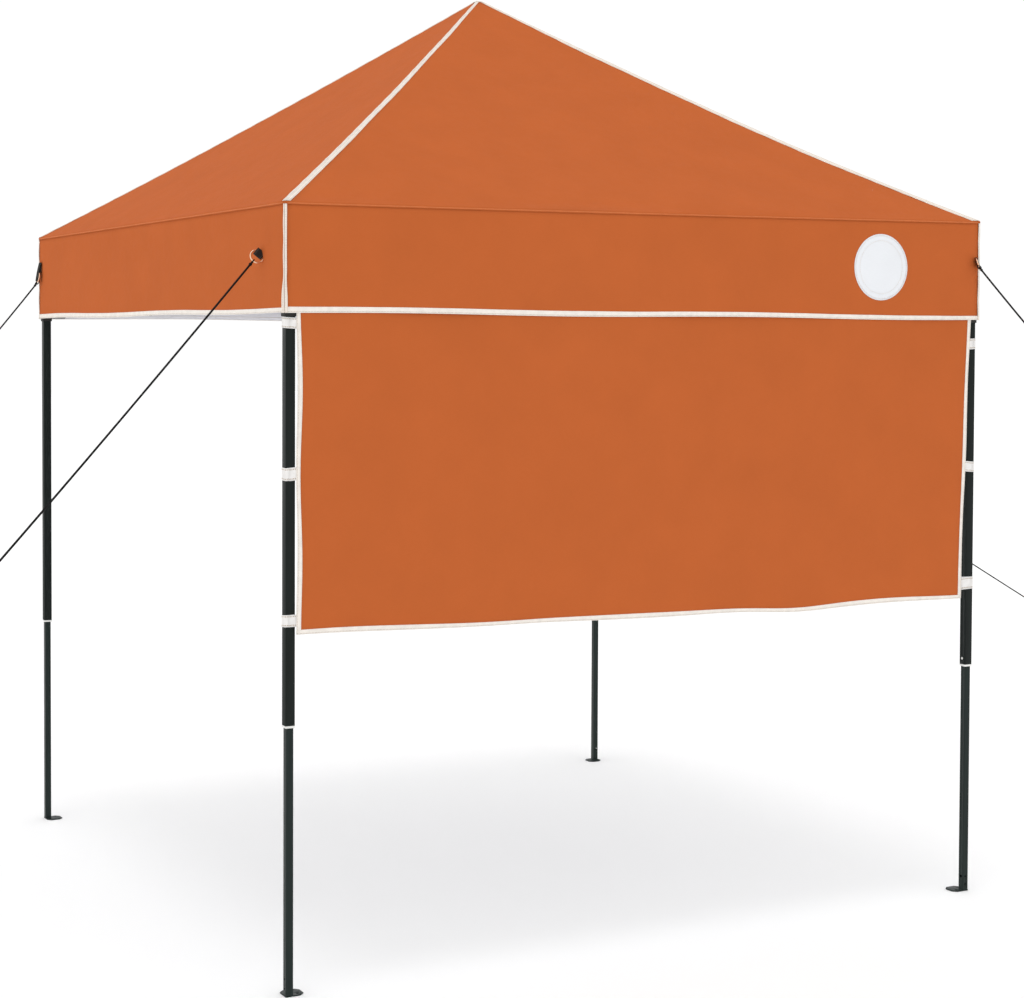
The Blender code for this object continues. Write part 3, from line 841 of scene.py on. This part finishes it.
def hook_strap(name, end, low, high):
    """A hook-and-loop strap from the wall's edge round the leg, its end lapped over itself."""
    gap = LEG_HALF + 0.0008
    corner_radius = 0.004
    inner_x = end * (LEG - gap)
    outline = [
        Vector((end * (LEG - STRAP_SEWN), WALL_Y + 0.0030, 0)),
        Vector((inner_x - end * 0.006, -LEG - gap - 0.0006, 0)),
    ]
    for centre_x, centre_y, first in ((1, -1, -90.0), (1, 1, 0.0), (-1, 1, 90.0), (-1, -1, 180.0)):
        middle = Vector((LEG + centre_x * (gap - corner_radius), -LEG + centre_y * (gap - corner_radius), 0))
        for step in range(4):
            angle = math.radians(first + 30.0 * step)
            point = middle + corner_radius * Vector((math.cos(angle), math.sin(angle), 0))
            outline.append(Vector((end * point.x, point.y, 0)))
    outline.append(Vector((end * (LEG + 0.006), -LEG - gap - 0.0019, 0)))
    rows = 5
    points, places, faces = [], [], []
    gone = 0.0
    for i, here in enumerate(outline):
        if i:
            gone += (here - outline[i - 1]).length
        for row in range(rows + 1):
            share = row / rows
            crumple = 0.0008 * noise.noise(Vector((gone * 40, share * 3, low * 9)))
            sway = 0.0015 * math.sin(gone * 60 + low * 5)
            points.append(Vector((here.x, here.y, low + (high - low) * share + sway + crumple)))
            places.append((gone, share))
    wide = rows + 1
    for i in range(len(outline) - 1):
        for row in range(rows):
            a = i * wide + row
            face = (a, a + wide, a + wide + 1, a + 1)
            faces.append(face if end > 0 else face[::-1])
    strap = piece(name, points, faces, places, [STRAP])
    solid = strap.modifiers.new("thickness", "SOLIDIFY")
    solid.thickness = WEBBING
    solid.offset = 1.0
    bpy.context.view_layer.update()
    apply_modifiers(strap)
    return strap


# Leg bushes -----------------------------------------------------------------------------------------------


def add_bushes():
    """A white plastic ring that closes the lower end of each outer leg round the inner one."""
    outer, inner = LEG_HALF + 0.0011, INNER_HALF + 0.0006
    high, low = LEG_BOTTOM + 0.0002, LEG_BOTTOM - 0.0062
    profile = [(inner, low + 0.001), (inner, high), (outer - 0.001, high), (outer, high - 0.001),
               (outer, low + 0.002), (outer - 0.002, low), (inner + 0.001, low)]
    for k, where in enumerate(CORNERS):
        middle = quarter(k) @ Vector((LEG, -LEG, 0))
        points, faces, places = [], [], []
        turns = []
        for centre_x, centre_y, first in ((1, -1, -90.0), (1, 1, 0.0), (-1, 1, 90.0), (-1, -1, 180.0)):
            turns += [(centre_x, centre_y, math.radians(first + 22.5 * step)) for step in range(5)]
        count = len(profile)
        for i, (centre_x, centre_y, angle) in enumerate(turns):
            for half, z in profile:
                rounding = 0.003 if half > inner + 0.002 else 0.001
                spot = Vector((centre_x * (half - rounding), centre_y * (half - rounding), z))
                spot += rounding * Vector((math.cos(angle), math.sin(angle), 0))
                points.append(middle + spot)
                places.append((i * 0.01, z))
        for i in range(len(turns)):
            following = (i + 1) % len(turns)
            for j in range(count):
                beside = (j + 1) % count
                here, there = i * count, following * count
                faces.append((here + j, there + j, there + beside, here + beside))
        bush = piece("leg_bush_" + where, points, faces, places, [BUSH])
        bush.data.polygons.foreach_set("use_smooth", [False] * len(bush.data.polygons))
        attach(bush, "leg_" + where)


# Guy ropes ------------------------------------------------------------------------------------------------

ROPE_RADIUS = 0.003
RING_RADIUS, RING_WIRE = 0.0190, 0.0022
ROPES = {
    "front_right": ((1.195, -EAVE - 0.037, 2.066), -30.0, 50.2, 0.32),
    "back_right": ((1.030, EAVE + 0.016, 2.050), 0.0, 29.2, 3.13),
    "back_left": ((-EAVE - 0.017, EAVE - 0.028, 2.028), 145.0, 49.6, 0.32),
    "front_left": ((-EAVE - 0.0315, -1.066, 2.038), 200.0, 42.8, 1.22),
}
# the tail that a rope's end knot leaves: offsets from the rope's end, along it and to its side
KNOT_TAIL = (
    (-0.006, 0.004), (0.003, 0.0055), (0.007, 0.0035), (0.005, -0.0020),
    (-0.004, -0.0055), (-0.012, -0.0075), (-0.020, -0.0110),
)
# how each ring hangs: the way it is pulled, the way its face looks, and where its tab ends and folds, both
# measured from the ring's middle, against the pull and along it
RINGS = {
    "front_right": (Vector((-0.42, -0.76, -0.50)), Vector((0.71, -0.62, 0.34)), 0.0245, -0.003),
    "back_right": (Vector((0.80, 0.30, -0.52)), Vector((0.0, 1.0, 0.0)), 0.0300, -0.003),
    "back_left": (Vector((-0.16, 0.0, -0.987)), Vector((-1.0, 0.0, 0.0)), 0.0560, 0.012),
    "front_left": (Vector((-0.69, -0.25, -0.68)), Vector((-0.36, -0.93, 0.0)), 0.0245, -0.003),
}


def rope_path(start, compass, fall, length):
    compass, fall = math.radians(compass), math.radians(fall)
    along = Vector((math.cos(compass) * math.cos(fall), math.sin(compass) * math.cos(fall), -math.sin(fall)))
    count = 15
    path = []
    for i in range(count):
        share = i / (count - 1)
        sag = Vector((0, 0, -0.02 * length * share * (1 - share)))
        path.append(Vector(start) + along * length * share + sag)
    return path, along


def wraps(name, path_point, along, turns, radius, wire, spacing, sides=8):
    """Turns of cord wound tightly round a rope."""
    across = along.orthogonal().normalized()
    up = along.cross(across)
    steps = 14
    path = []
    for i in range(int(turns * steps) + 1):
        angle = 2 * math.pi * i / steps
        outwards = radius * (math.cos(angle) * across + math.sin(angle) * up)
        path.append(path_point + along * spacing * i / steps + outwards)
    return tube(name, path, wire, ROPE, sides=sides)


def add_ropes():
    for where in CORNERS:
        start, compass, fall, length = ROPES[where]
        path, along = rope_path(start, compass, fall, length)
        rope = tube("rope_" + where, path, ROPE_RADIUS, ROPE, sides=10)
        body = "leg_" + where
        pull, face, reach, fold = RINGS[where]

        # the ring stands in the rope's pull, with the loop of its tab round its far side
        start = Vector(start)
        pull = pull.normalized()
        outwards = (face - pull * face.dot(pull)).normalized()
        ring_side = outwards.cross(pull)
        centre = start - pull * (RING_RADIUS + ROPE_RADIUS)
        ring_path = []
        for i in range(40):
            angle = 2 * math.pi * i / 40
            ring_path.append(centre + RING_RADIUS * (math.cos(angle) * pull + math.sin(angle) * ring_side))
        ring = tube("ring_" + where, ring_path, RING_WIRE, BRASS, sides=12, closed=True)
        tab = webbing_tab("tab_" + where, centre, reach, fold, (pull, ring_side, outwards))

        # the rope is tied to the ring with a loop and two turns
        loop_path = []
        loop_length, loop_width = 0.0075, 0.0050
        loop_middle = start + along * 0.004
        for i in range(24):
            angle = 2 * math.pi * i / 24
            loop_path.append(loop_middle - along * 0.0045 + loop_length * math.cos(angle) * along
                             + loop_width * math.sin(angle) * outwards)
        loop = tube("rope_loop_" + where, loop_path, 0.0016, ROPE, sides=8, closed=True)
        knot = wraps("rope_turns_" + where, start + along * 0.009, along,
                     turns=2.2, radius=0.0038, wire=0.0010, spacing=0.0022)
        tie = joined("rope_tie_" + where, [knot, loop])

        # the end knot, with the short tail that it leaves
        last = path[-1]
        end_along = (path[-1] - path[-2]).normalized()
        knot_start = last - end_along * 0.020
        bulk = wraps("end_knot_turns_" + where, knot_start, end_along,
                     turns=3.2, radius=0.0050, wire=0.0024, spacing=0.0050)
        side = end_along.orthogonal().normalized()
        tail_path = [last + end_along * ahead + side * aside for ahead, aside in KNOT_TAIL]
        tail = tube("tail", smoothed(tail_path), 0.0020, ROPE, sides=8)
        end_knot = joined("end_knot_" + where, [bulk, tail])

        for part in (rope, ring, tab, tie, end_knot):
            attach(part, body)
        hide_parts("guy_rope_" + where)
        tuple(start)
        [tuple(p) for p in path]


def smoothed(path, steps=4):
    """A rounder path through the same points."""
    found = []
    for i in range(len(path) - 1):
        before, here = path[max(i - 1, 0)], path[i]
        there, after = path[i + 1], path[min(i + 2, len(path) - 1)]
        for step in range(steps):
            t = step / steps
            squared = (2 * before - 5 * here + 4 * there - after) * t * t
            cubed = (3 * here - before - 3 * there + after) * t ** 3
            found.append(0.5 * ((2 * here) + (there - before) * t + squared + cubed))
    found.append(path[-1])
    return found


def webbing_tab(name, centre, reach, fold, directions):
    """A strip of webbing folded over the far side of a ring's wire. Both of its layers run back to where it
    is sewn on."""
    pull, ring_side, outwards = directions
    half_width = 0.0135
    half_gap = 0.0009
    wide = 5
    wrap = RING_WIRE + 0.0010
    fold = centre + pull * fold
    past_wire = centre - pull * (RING_RADIUS + 0.0005)
    sewn = centre - pull * reach
    line = [sewn - outwards * half_gap, past_wire - outwards * wrap]
    for i in range(7):
        angle = math.radians(-90.0 + 30.0 * i)
        line.append(fold + wrap * (math.cos(angle) * pull + math.sin(angle) * outwards))
    line += [past_wire + outwards * wrap, sewn + outwards * half_gap]
    points, places, faces = [], [], []
    gone = 0.0
    line = smoothed(line, 3)
    for i, here in enumerate(line):
        if i:
            gone += (here - line[i - 1]).length
        for j in range(wide):
            across = j / (wide - 1)
            points.append(here + ring_side * half_width * (2 * across - 1))
            places.append((gone, across))
    for i in range(len(line) - 1):
        for j in range(wide - 1):
            a = i * wide + j
            faces.append((a, a + 1, a + wide + 1, a + wide))
    tab = piece(name, points, faces, places, [TAB])
    solid = tab.modifiers.new("thickness", "SOLIDIFY")
    solid.thickness = WEBBING
    solid.offset = 0.0
    bpy.context.view_layer.update()
    apply_modifiers(tab)
    return tab


# The whole scene ------------------------------------------------------------------------------------------

add_camera()
add_light()
add_floor()
finish_frame()
add_roof()
add_peak_cap()
add_valance()
add_patch()
add_wall()
add_bushes()
add_ropes()

bpy.context.scene.view_settings.view_transform = "Standard"
